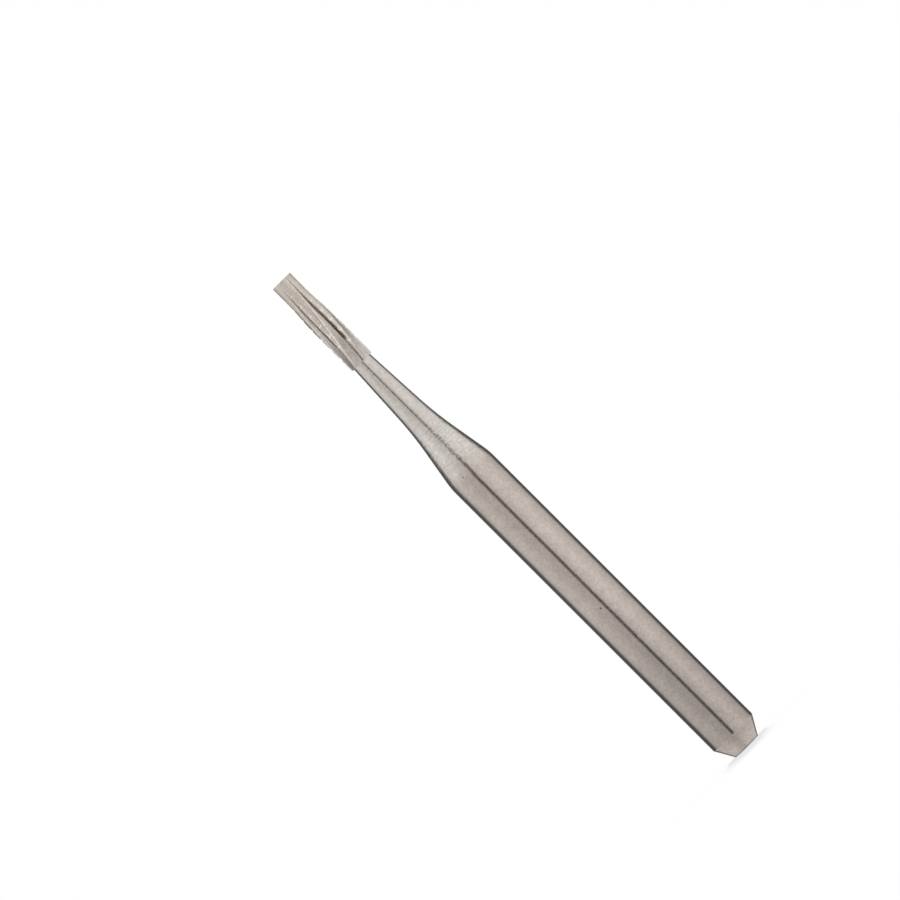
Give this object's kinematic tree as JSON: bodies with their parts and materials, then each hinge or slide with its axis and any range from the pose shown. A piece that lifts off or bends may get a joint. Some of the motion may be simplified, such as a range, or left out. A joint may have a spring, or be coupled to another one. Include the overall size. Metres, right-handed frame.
{
  "type": "dental carbide burr",
  "caption": "Slim friction-grip burr: plain round shank with a chamfered end, two-stage neck and a tapered fissure head with six crosscut blades that turn back at the neck.",
  "frame": {"origin": "centre of the shank's flat end face, on which the burr stands", "axes": "+Z along the burr's axis, from the shank end to the cutting tip; one crosscut blade's edge ends at the tip close to +X"},
  "size_m": [0.0016, 0.0016, 0.0195],
  "materials": {
    "carbide": "satin ground carbide"
  },
  "bodies": {
    "root": {"burr": "carbide"}
  },
  "joints": []
}
